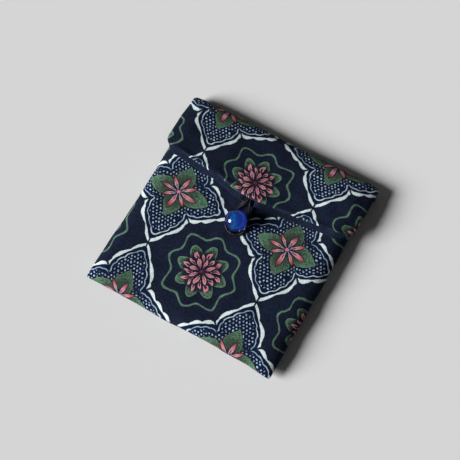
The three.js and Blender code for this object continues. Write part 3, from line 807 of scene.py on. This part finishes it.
def flap_strip(inset, beyond, slot=False):
    """The flap's outer face, drawn in at its sides by an inset and reaching beyond the print's end, and how far
    each point is from its outline. The tip is lifted by the cord's two ends, and with a slot it passes under them."""
    columns = spread_ends(1, 0.08, FLAP_COLUMNS)
    tails_end = FLAP_TIP + TAIL_LENGTH
    grid, rim = [], []
    for turn in np.linspace(-math.pi / 2, math.pi / 2 - SLOPE, CREASE_STEPS):
        share = smooth(-math.pi / 2, 0, turn)
        half = HALF + (HALF_FLAP - HALF) * share - inset
        x = columns * half
        along = ROLL_Y + CREASE_R * (turn + math.pi / 2)
        level = seam_level(np.minimum(CREASE, along)) - SEAM_GAP
        side = 1 - rounding(HALF - np.minimum(np.abs(x), HALF), SIDE_ROLL)
        up = side * (1 - smooth(MOUTH, ROLL_Y + CREASE_R * math.pi / 2, along)) if turn < 0 else 0 * x
        out = outer_part(x)
        proud = 0.5 * bell(x, -22, 26) + 0.8 * smooth(5, 28, x)
        y = ROLL_Y + (CREASE_R + proud) * math.cos(turn) - 1.5 * out ** 3 * math.cos(turn)
        z = LIE + CLOTH * (1 - share) + CREASE_R * (1 + math.sin(turn)) + level * up
        z = z - DROOP * out ** 2 * smooth(0, math.pi / 2, turn)
        grid.append(np.stack([x, np.full_like(x, y), z], axis=1))
        rim.append(half + inset - np.abs(x))
    for share in np.linspace(0, 1, SLOPE_STEPS)[1:]:
        low = flap_low(columns * (HALF_FLAP - inset))
        y = SLOPE_END + (low - beyond - SLOPE_END) * share
        cut = np.clip((SIDE_LOW + FLAP_CORNER - beyond - y) / FLAP_CORNER, 0, 1)
        half = HALF_FLAP - inset - FLAP_CORNER * (1 - np.sqrt(1 - cut ** 2))
        x = columns * half
        z = FLAP_TOP + crown(x, y) - thinner(y)
        z = z - DROOP * outer_part(x) ** 2
        z = z + (0.10 * ripples(x, y, 9, 21) + 0.2 * ripples(x, y, 24, 22)) * smooth(SLOPE_END, SLOPE_END - 8, y)
        beside = np.maximum(0, np.abs(x - TAIL_X) - 1.8)
        rise = TIP_RISE * bell(beside, 0, TIP_RISE_WIDTH) * (1 - smooth(tails_end, tails_end + TIP_RISE_LENGTH, y))
        z = z + (rise * smooth(0.2, 2.2, beside) if slot else rise)
        grid.append(np.stack([x, y, z], axis=1))
        rim.append(np.minimum(half + inset - np.abs(x), y - low + beyond + 0.001))
    grid = np.array(grid)
    x = grid[..., 0].copy()
    grid[..., 0] += 0.2 * ripples(np.sign(x) * 150.0, grid[..., 1], 16, 17) * np.clip(
        (np.abs(x) - 38) / 12, 0, 1) ** 2 * smooth(ROLL_Y - 3, ROLL_Y - 14, grid[..., 1])
    left = np.interp(grid[..., 1], [20, 30, 38, 45], [0.2, 0.32, 0.56, 0.92])
    grid[..., 0] += np.where(x < 0, left, 0.9) * np.clip((np.abs(x) - 15) / 30, 0, 1)
    return grid, np.array(rim)


def flap_cloth():
    """Outer and inner face of the flap's printed cloth, each point's place in the print, and its wear with painted
    sheen and painted shade.
    """
    grid, rim = flap_strip(0, 0)
    begins = smooth(0, EDGE_FADE, np.arange(CREASE_STEPS))[:, None]
    # the edge is turned under: it rounds down over its width
    thick = CLOTH + 0.4 * smooth(3.6, 1.2, rim)
    normal = normals_of(grid)
    drop = 1 - rounding(rim, 1.3)
    drop[:CREASE_STEPS] *= begins
    outer = grid + normal * (thick - thick * 0.5 * drop * 0.98)[..., None]
    outer[..., 2] = np.maximum(outer[..., 2], LIE)
    inner = grid + normal * (thick * 0.5 * drop)[..., None]
    across, along = cloth_lengths(grid, CREASE_STEPS - 1)
    # the crossings of the lattice lie at the same distance from the crease all the way across
    along = along - (SLOPE_END - 27.4) * 1.012
    v = np.where(along < 0, -along * 1.07, -along * 0.97)
    # where the print strays from its lattice
    v = v + 0.07 * np.maximum(0, v - 8)
    v = v + 0.36 * smooth(-40.5, -44.5, across) * (v - 3.1) * smooth(-3, 2, v) * (1 - smooth(10.5, 16, v))
    v = v - 2.2 * bell(across, -40.5, 3.5) * smooth(16, 21, v)
    bow = 2.9 * bell(across, 1, 18) * (1 - 0.25 * smooth(0, -8, v))
    drift = 0.6 - 0.9 * smooth(-34, -46, across) + 1.8 * bell(across, -35, 3) * bell(v, -5, 4)
    drop = 1.6 * smooth(34, 46, across)
    uv = np.stack([across + 30.6 - drift, v + PITCH[1] / 2 + bow + drop], axis=2)
    # the print runs on from the pocket's back, some repeats of the lattice later
    before = np.stack([np.interp(grid[0, :, 0], pocket_end[0], pocket_end[1][:, k]) for k in range(2)], axis=1)
    before[:, 1] += 4 * PITCH[1]
    uv += (before - uv[0]) * (1 - smooth(0, PRINT_FADE, np.arange(len(grid))))[:, None, None]
    # lighter along the crease, from wear with a painted highlight on the fold's top, and along the turned edge, a
    # painted sheen
    edge = smooth(1.5, 0.4, rim) * smooth(-1.0, 1.0, ripples(grid[..., 0], grid[..., 1], 13, 31) + 0.4)
    edge[:CREASE_STEPS] *= begins
    fold = bell(np.arange(len(grid)), FOLD_STEP, 4.5)[:, None]
    wear_sheen_and_shade = 0.35 * edge + 0.5 * fold * smooth(-1.2, 1.2, ripples(grid[..., 0], grid[..., 1], 9, 32) + 0.3)
    # and darker towards the crease on the left half, a painted shade where the flap slopes away from the light
    wear_sheen_and_shade = wear_sheen_and_shade - 0.2 * smooth(SLOPE_END, SLOPE_END - 12, grid[..., 1]) * (1 - smooth(-8, 22, grid[..., 0])) * (
        1 - np.clip(wear_sheen_and_shade * 4, 0, 1))
    return outer, inner, uv, wear_sheen_and_shade


outer, inner, uv, wear_sheen_and_shade = flap_cloth()
flap = closed_sheet("flap_cloth", outer, inner, uv, ends=3)
# the flap's wear, with its painted sheen and painted shade, for the print's material
set_attribute(flap, "wear_sheen_and_shade", sheet_values(wear_sheen_and_shade, 3))
flap.data.materials.append(PRINT)
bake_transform(flap)
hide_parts("flap_panel", "flap_edge")

# Its lining, which shows as a plain band beyond the print's lower edge
grid, rim = flap_strip(1.95, BAND, True)
normal = normals_of(grid)
depth = 0.1 + 0.35 * smooth(BAND + 0.6, 0.4, rim)
outer = grid - normal * depth[..., None]
inner = grid - normal * (depth + LINING_CLOTH + 0.2 * smooth(2.0, 0.8, rim))[..., None]
across, along = cloth_lengths(grid, CREASE_STEPS - 1)
lining = closed_sheet("flap_inside", outer, inner, np.stack([across, along], axis=2), ends=3)
lining.data.materials.append(LINING)
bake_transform(lining)
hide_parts("flap_lining")


def tube(name, points, radius, sides, twist=0.0, plies=0, bulge=0.0):
    """A closed tube along points. With plies, its section has that many lobes and turns as it goes. Two plies are
    deeply parted, and with more of them bulge says how deeply."""
    p = np.asarray(points, dtype=float)
    tangent = np.gradient(p, axis=0)
    tangent /= np.linalg.norm(tangent, axis=1, keepdims=True)
    side = np.cross(tangent[0], [0, 0, 1.0])
    if np.linalg.norm(side) < 1e-3:
        side = np.cross(tangent[0], [1.0, 0, 0])
    side /= np.linalg.norm(side)
    length = np.concatenate([[0], np.cumsum(np.linalg.norm(np.diff(p, axis=0), axis=1))])
    rings, uvs = [], []
    for i in range(len(p)):
        side = side - tangent[i] * (side @ tangent[i])
        side /= np.linalg.norm(side)
        other = np.cross(tangent[i], side)
        turns = np.arange(sides) / sides * 2 * math.pi
        lobes = np.abs(np.cos((turns * plies + length[i] * twist) / 2))
        r = radius * (np.maximum(lobes, 0.42) if plies == 2 else 1 - bulge + bulge * lobes if plies else 1)
        r = np.broadcast_to(r, turns.shape)
        rings.append(p[i] + (np.cos(turns) * r)[:, None] * side + (np.sin(turns) * r)[:, None] * other)
        uvs.append(np.stack([turns * radius, np.full(sides, length[i])], axis=1))
    rings = np.array(rings)
    count = len(p)
    faces = []
    for i in range(count - 1):
        for j in range(sides):
            k = (j + 1) % sides
            faces.append((i * sides + j, i * sides + k, (i + 1) * sides + k, (i + 1) * sides + j))
    faces.append(tuple(range(sides))[::-1])
    faces.append(tuple((count - 1) * sides + j for j in range(sides)))
    return make_mesh(name, rings.reshape(-1, 3), faces, np.array(uvs).reshape(-1, 2), sharp=60)


def curve_through(points, count):
    """Evenly spaced points on a smooth curve through given ones."""
    p = np.asarray(points, dtype=float)
    p = np.vstack([2 * p[0] - p[1], p, 2 * p[-1] - p[-2]])
    fine = []
    for i in range(1, len(p) - 2):
        for t in np.linspace(0, 1, 24, endpoint=False):
            a, b, c, d = p[i - 1], p[i], p[i + 1], p[i + 2]
            fine.append(0.5 * (2 * b + (c - a) * t + (2 * a - 5 * b + 4 * c - d) * t ** 2
                               + (3 * b - a - 3 * c + d) * t ** 3))
    fine.append(p[-2])
    fine = np.array(fine)
    length = np.concatenate([[0], np.cumsum(np.linalg.norm(np.diff(fine, axis=0), axis=1))])
    at = np.linspace(0, length[-1], count)
    return np.stack([np.interp(at, length, fine[:, k]) for k in range(3)], axis=1)


# Cord
LYING_Z = 10.54  # the cord's middle where it lies on the front
LOOP_PATH = (
    (-0.05, 15.8), (-1.05, 13.2), (-2.5, 9.8), (-3.7, 5.9), (-3.45, 2.9), (-2.1, 0.7), (-0.2, -0.5), (1.7, -0.8),
    (3.7, -0.4), (5.5, 1.0), (6.5, 3.8), (6.0, 6.9), (4.2, 10.1), (2.9, 13.6), (2.05, 15.8),
)


def waxed_cord():
    material, tree, shader = new_material("waxed_cord")
    u, v = cloth_place()
    strands = noise(u * 1.5, v * 0.2, 1.5, 2.0, seed=31.0)
    colour = laid_over(srgb(9, 8, 11), srgb(84, 68, 70), ramp(0.54, 0.68, strands))
    tree.links.new(colour, shader.inputs["Base Color"])
    set_inputs(shader, {"Roughness": 0.5, "Specular IOR Level": 0.3})
    add_bump(shader, strands, 0.6, 0.00008)
    return material


CORD_LOOK = waxed_cord()


def cord_along(name, points):
    """Two-ply cord along points."""
    cord = tube(name, points, CORD / 2, sides=28, twist=0.07, plies=2)
    cord.data.materials.append(CORD_LOOK)
    return cord


tail = [TAIL_X - TAIL_SPACING / 2, TAIL_X + TAIL_SPACING / 2]
path = [(tail[0], LOOP_START), *LOOP_PATH, (tail[1], LOOP_START)]
path = [(x, y, LYING_Z + (TAIL_Z - LYING_Z) * float(smooth(9.7, 16.5, y))) for x, y in path]
path = curve_through(path, 260)
loop = cord_along("loop_cord", path)
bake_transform(loop)
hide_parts("cord_loop")

for number, x in enumerate(tail):
    places = (0.1, TAIL_LENGTH / 2, TAIL_LENGTH)
    end = cord_along(f"tail_cord_{number}", curve_through([(x, LOOP_START + y, TAIL_Z) for y in places], 60))
    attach(end, "flap")
    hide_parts("loop_tails")


# The bar tack that holds the two ends, wound round them
TACK_TURNS = 11
TACK_START = LOOP_START + 3.1
TACK_LENGTH = 2.4


def tack_point(step):
    """A point of the thread, which keeps to a rounded rectangle."""
    turn = 2 * math.pi * TACK_TURNS * step
    flat = (abs(math.cos(turn)) ** 6 + abs(math.sin(turn)) ** 6) ** (-1 / 6)
    x, z = 1.6 * flat * math.cos(turn), 0.68 * flat * math.sin(turn)
    return TAIL_X + x, TACK_START + TACK_LENGTH * step, TAIL_Z + z


tack = tube("bar_tack", [tack_point(step) for step in np.linspace(0, 1, 300)], 0.1, sides=6)
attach(tack, "flap")
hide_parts("loop_tails")


# Bead
GLASS_PAINTED_SHADE = srgb(13, 18, 52)
GLASS_DARK = srgb(8, 19, 66)
GLASS_BLUE = srgb(15, 36, 100)
GLASS_SHEEN = srgb(19, 90, 166)
GLASS_PAINTED_GLOW = srgb(16, 46, 158)
GLASS_LIT = srgb(15, 40, 118)


def glass():
    material, tree, shader = new_material("blue_glass")
    place = tree.nodes.new("ShaderNodeTexCoord")
    split = tree.nodes.new("ShaderNodeSeparateXYZ")
    tree.links.new(place.outputs["Object"], split.inputs[0])
    x, y, z = (Value(s) * (1 / MM) for s in split.outputs)
    x, y, z = x - BEAD.x, y - BEAD.y, z - BEAD.z
    across = x * RIGHT.x + y * RIGHT.y + z * RIGHT.z
    up = x * UP.x + y * UP.y + z * UP.z
    # a painted cat's-eye sheen: a band of reflected light, laid square to the camera's view
    sheen_streak = ramp(2.9, 0.0, absolute(across + 0.6 - up * 0.05)) * ramp(5.2, 2.5, absolute(up))
    grain = noise(across * 2.5, up * 0.4, 1.0, 3.0, seed=41.0)
    blue = laid_over(GLASS_DARK, GLASS_BLUE, ramp(0.35, 0.65, grain))
    blue = laid_over(blue, GLASS_SHEEN, sheen_streak * ramp(0.25, 0.6, grain))
    # painted light: brighter towards the side away from the lamp, as light come through the glass
    blue = laid_over(blue, GLASS_PAINTED_GLOW, ramp(0.0, 3.0, across) * (1 - sheen_streak))
    # painted shade: darker on the lamp's side, to even out its light
    blue = laid_over(blue, GLASS_PAINTED_SHADE, ramp(-2.2, -5.0, across + up * 0.4) * 0.8)
    tree.links.new(blue, shader.inputs["Base Color"])
    # light that has come through the glass to its far side
    far = ramp(-1.0, 2.4, across) * ramp(6.2, 4.2, absolute(up) + across * 0.3)
    tree.links.new(laid_over(NO_LIGHT, GLASS_LIT, far), shader.inputs["Emission Color"])
    set_inputs(shader, {"Emission Strength": 1.0, "Roughness": 0.12, "Specular IOR Level": 0.3,
                        "Coat Weight": 0.3, "Coat Roughness": 0.04})
    return material


# The camera's place and turn, by which the painted sheen streak in the glass is placed too
DISTANCE = 600  # of the camera from the place that it looks at
LOOK_AT = Vector((-2.40, 1.74, 0))
BACK = Vector((0.240, -0.148, 1)).normalized()
LEVEL = Vector((0, 1, 0)).cross(BACK).normalized()
RISE = BACK.cross(LEVEL)
ROLL = math.radians(30.30)
RIGHT = LEVEL * math.cos(ROLL) + RISE * math.sin(ROLL)
UP = RISE * math.cos(ROLL) - LEVEL * math.sin(ROLL)


def bead_mesh():
    """A ball with a bore along Y."""
    bore = 0.75
    mouth = math.asin(bore / BEAD_R)
    rings = []
    for turn in np.linspace(mouth, math.pi - mouth, 48):
        rings.append((BEAD_R * math.sin(turn), -BEAD_R * math.cos(turn)))
    for along in np.linspace(rings[-1][1], rings[0][1], 8)[1:-1]:
        rings.append((bore, along))
    sides = 72
    points, faces = [], []
    for r, along in rings:
        for j in range(sides):
            turn = 2 * math.pi * j / sides
            points.append((BEAD.x + r * math.cos(turn), BEAD.y + along, BEAD.z + r * math.sin(turn)))
    count = len(rings)
    for i in range(count):
        for j in range(sides):
            a, b = i, (i + 1) % count
            k = (j + 1) % sides
            faces.append((a * sides + j, a * sides + k, b * sides + k, b * sides + j))
    return make_mesh("glass_bead", np.array(points), faces, sharp=50)


bead = bead_mesh()
bead.data.materials.append(glass())
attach(bead, "bead")
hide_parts("closure_bead")


# Thread
def thread_look():
    material, tree, shader = new_material("sewing_thread")
    u, v = cloth_place()
    fibres = noise(u * 3, v * 0.6, 1.6, 3.0, seed=51.0)
    tree.links.new(laid_over(srgb(17, 21, 36), srgb(48, 54, 76), ramp(0.35, 0.7, fibres)), shader.inputs["Base Color"])
    set_inputs(shader, {"Roughness": 0.8})
    return material


THREAD = thread_look()  # of the bar tack too
tack.data.materials.append(THREAD)
# the front's height under the bead
SEAT = FRONT_TOP + CROWN * (1 - (BEAD.x / HALF) ** 2) * (1 - (BEAD.y / ROLL_Y) ** 2)


def bead_thread():
    """Two strands that pass through the bore, round the bead's ends and down to the cloth."""
    strands = []
    round_bead = BEAD_R + 0.36
    low = math.asin((BEAD.z - SEAT - 0.72) / round_bead)
    for shift in (-0.17, 0.17):  # to each side of the bore's middle
        half = [(0, 0.6, SEAT + 0.3 - BEAD.z)]
        for share in np.linspace(0, 1, 7):
            turn = -low * (1 - share * 0.9)
            half.append((0, round_bead * math.cos(turn), round_bead * math.sin(turn)))
        half += [(0, round_bead - 0.6, 0), (0, round_bead / 2, 0)]
        path = half + [(0, -y, z) for _, y, z in half[::-1]]
        path = curve_through([(BEAD.x + shift, BEAD.y + y, BEAD.z + z) for _, y, z in path], 200)
        strands.append(tube(f"bead_thread_{len(strands)}", path, 0.15, sides=12, twist=7, plies=3, bulge=0.3))
    return strands


for piece in bead_thread():
    piece.data.materials.append(THREAD)
    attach(piece, "bead")
    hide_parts("bead_thread")


def thread_knot():
    """A small tied knot on the lining: the thread wound round itself, with two short ends."""
    low = SEAT - 2.05
    points = []
    for step in np.linspace(0, 1, 120):
        turn = 2 * math.pi * 3.5 * step
        wide = 1.0 - 0.25 * math.sin(turn * 0.5) ** 2
        points.append((BEAD.x + wide * math.cos(turn), BEAD.y + 0.75 * math.sin(turn * 1.02),
                       low - 0.2 - 0.22 * math.sin(turn * 2) - 0.12 * step))
    points += [(BEAD.x + 0.4, BEAD.y + 0.9, low - 0.5), (BEAD.x + 1.2, BEAD.y + 1.6, low - 0.7)]
    return tube("knot", curve_through(points, 260), 0.16, sides=8)


piece = thread_knot()
piece.data.materials.append(THREAD)
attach(piece, "pocket")
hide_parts("thread_knot")


# Surroundings
scene = bpy.context.scene
FLOOR_COLOUR = (0.665, 0.665, 0.665, 1)
bpy.ops.mesh.primitive_plane_add(size=6, location=(0, 0, -0.00002))
floor = bpy.context.object
floor.name = "floor"
material, _, shader = new_material("floor")
set_inputs(shader, {"Base Color": FLOOR_COLOUR, "Roughness": 1.0, "Specular IOR Level": 0.0})
floor.data.materials.append(material)

ELEVATION = math.radians(30.5)
SUN_SIDE = (-0.771, -0.637)  # the side that the sun stands on, seen from above
WORLD = 0.06  # how bright the surroundings are
world = bpy.data.worlds.new("surroundings")
world.use_nodes = True
set_inputs(world.node_tree.nodes["Background"], {"Color": (1, 1, 1, 1), "Strength": WORLD})
scene.world = world
sun = bpy.data.lights.new("key", "SUN")
sun.energy = (1 - WORLD) * math.pi / math.sin(ELEVATION)
sun.angle = math.radians(31)
sun_object = bpy.data.objects.new("key", sun)
flat = math.cos(ELEVATION)
towards = Vector((SUN_SIDE[0] * flat, SUN_SIDE[1] * flat, math.sin(ELEVATION)))
sun_object.rotation_euler = towards.to_track_quat("Z", "Y").to_euler()
scene.collection.objects.link(sun_object)

lens_data = bpy.data.cameras.new("camera")
lens_data.lens = 99.27
lens_data.sensor_width = 36
lens_data.clip_start = 0.01
lens_data.clip_end = 20
camera = bpy.data.objects.new("camera", lens_data)
turn = Matrix((RIGHT, UP, BACK)).transposed().to_4x4()
turn.translation = (LOOK_AT + BACK * DISTANCE) * MM
camera.matrix_world = turn
scene.collection.objects.link(camera)
scene.camera = camera
scene.view_settings.view_transform = "Standard"
scene.view_settings.look = "None"
